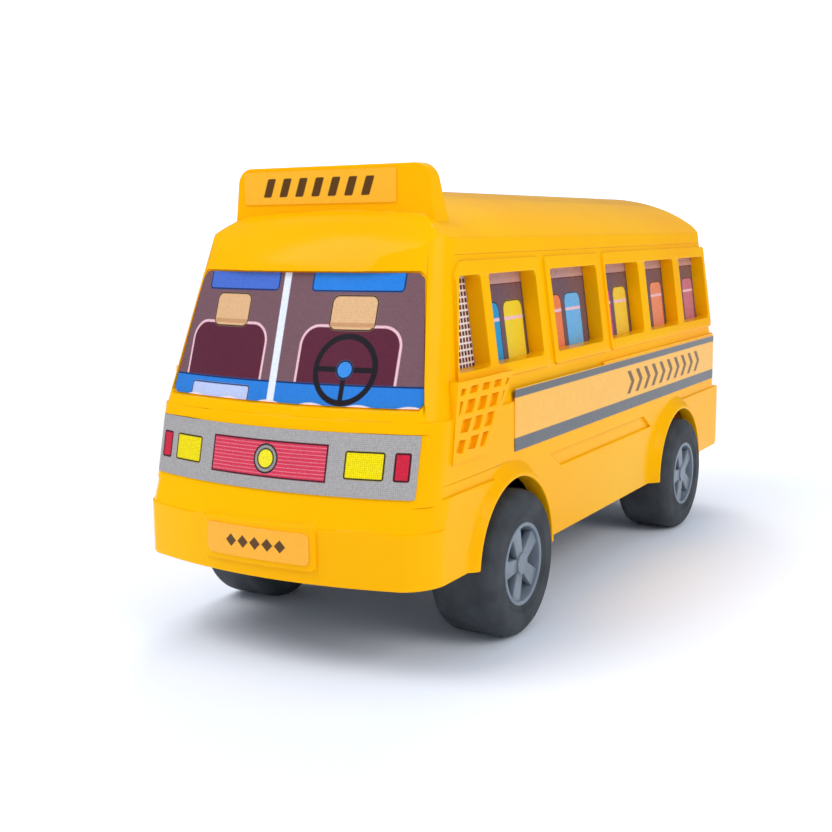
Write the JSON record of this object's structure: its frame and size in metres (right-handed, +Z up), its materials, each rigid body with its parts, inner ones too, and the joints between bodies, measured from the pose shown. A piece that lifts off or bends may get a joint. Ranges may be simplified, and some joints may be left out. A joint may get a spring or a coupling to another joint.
{
  "type": "toy bus",
  "caption": "Friction-drive toy bus: a moulded yellow shell with window cards and stickers on a chassis with rubber-tyred wheels that roll.",
  "frame": {"origin": "on the ground under the middle of the bus's overall box", "axes": "+Z up, the front of the bus faces -Y, +X is the bus's own left side"},
  "size_m": [0.0664, 0.1694, 0.0867],
  "materials": {
    "yellow_plastic": "glossy moulded",
    "black_plastic": "satin moulded",
    "printed_card": "printed film",
    "orange_sticker": "printed film",
    "silver_sticker": "printed film",
    "hub_plastic": "satin moulded",
    "tyre_rubber": "matt",
    "steel": "drawn",
    "gear_plastic": "natural",
    "flywheel_iron": "turned"
  },
  "bodies": {
    "root": {"body_shell": "yellow_plastic", "chassis_plate": "black_plastic", "chassis_screws": "steel", "windscreen_print": "printed_card", "left_window_print": "printed_card", "right_window_print": "printed_card", "rear_window_print": "printed_card", "sign_sticker": "orange_sticker", "grille_sticker": "silver_sticker", "plate_sticker": "orange_sticker", "left_stripe_sticker": "orange_sticker", "right_stripe_sticker": "orange_sticker", "motor_case_left": "black_plastic", "motor_case_right": "black_plastic", "motor_case_screws": "steel", "motor_mount_screws": "steel"},
    "front_wheels": {"front_axle": "steel", "front_left_hub": "hub_plastic", "front_right_hub": "hub_plastic", "front_left_tyre": "tyre_rubber", "front_right_tyre": "tyre_rubber"},
    "rear_wheels": {"rear_axle": "steel", "rear_left_hub": "hub_plastic", "rear_right_hub": "hub_plastic", "rear_left_tyre": "tyre_rubber", "rear_right_tyre": "tyre_rubber", "axle_gear": "gear_plastic"},
    "counter": {"counter_gear": "gear_plastic", "counter_shaft": "steel"},
    "flywheel": {"flywheel": "flywheel_iron", "flywheel_pinion": "gear_plastic", "flywheel_shaft": "steel"}
  },
  "joints": [
    {"name": "front_axle_spin", "type": "hinge", "parent": "root", "child": "front_wheels", "pos_m": [0, -0.0468, 0.0138], "axis": [1, 0, 0], "continuous": true},
    {"name": "rear_axle_spin", "type": "hinge", "parent": "root", "child": "rear_wheels", "pos_m": [0, 0.0474, 0.0138], "axis": [1, 0, 0], "continuous": true},
    {"name": "counter_spin", "type": "hinge", "parent": "root", "child": "counter", "pos_m": [0, 0.03891, 0.01689], "axis": [1, 0, 0], "continuous": true},
    {"name": "flywheel_spin", "type": "hinge", "parent": "root", "child": "flywheel", "pos_m": [0, 0.03041, 0.01998], "axis": [1, 0, 0], "continuous": true}
  ],
  "couplings": [
    {"joint": "counter_spin", "follows": "rear_axle_spin", "ratio": -2},
    {"joint": "flywheel_spin", "follows": "rear_axle_spin", "ratio": 4}
  ]
}
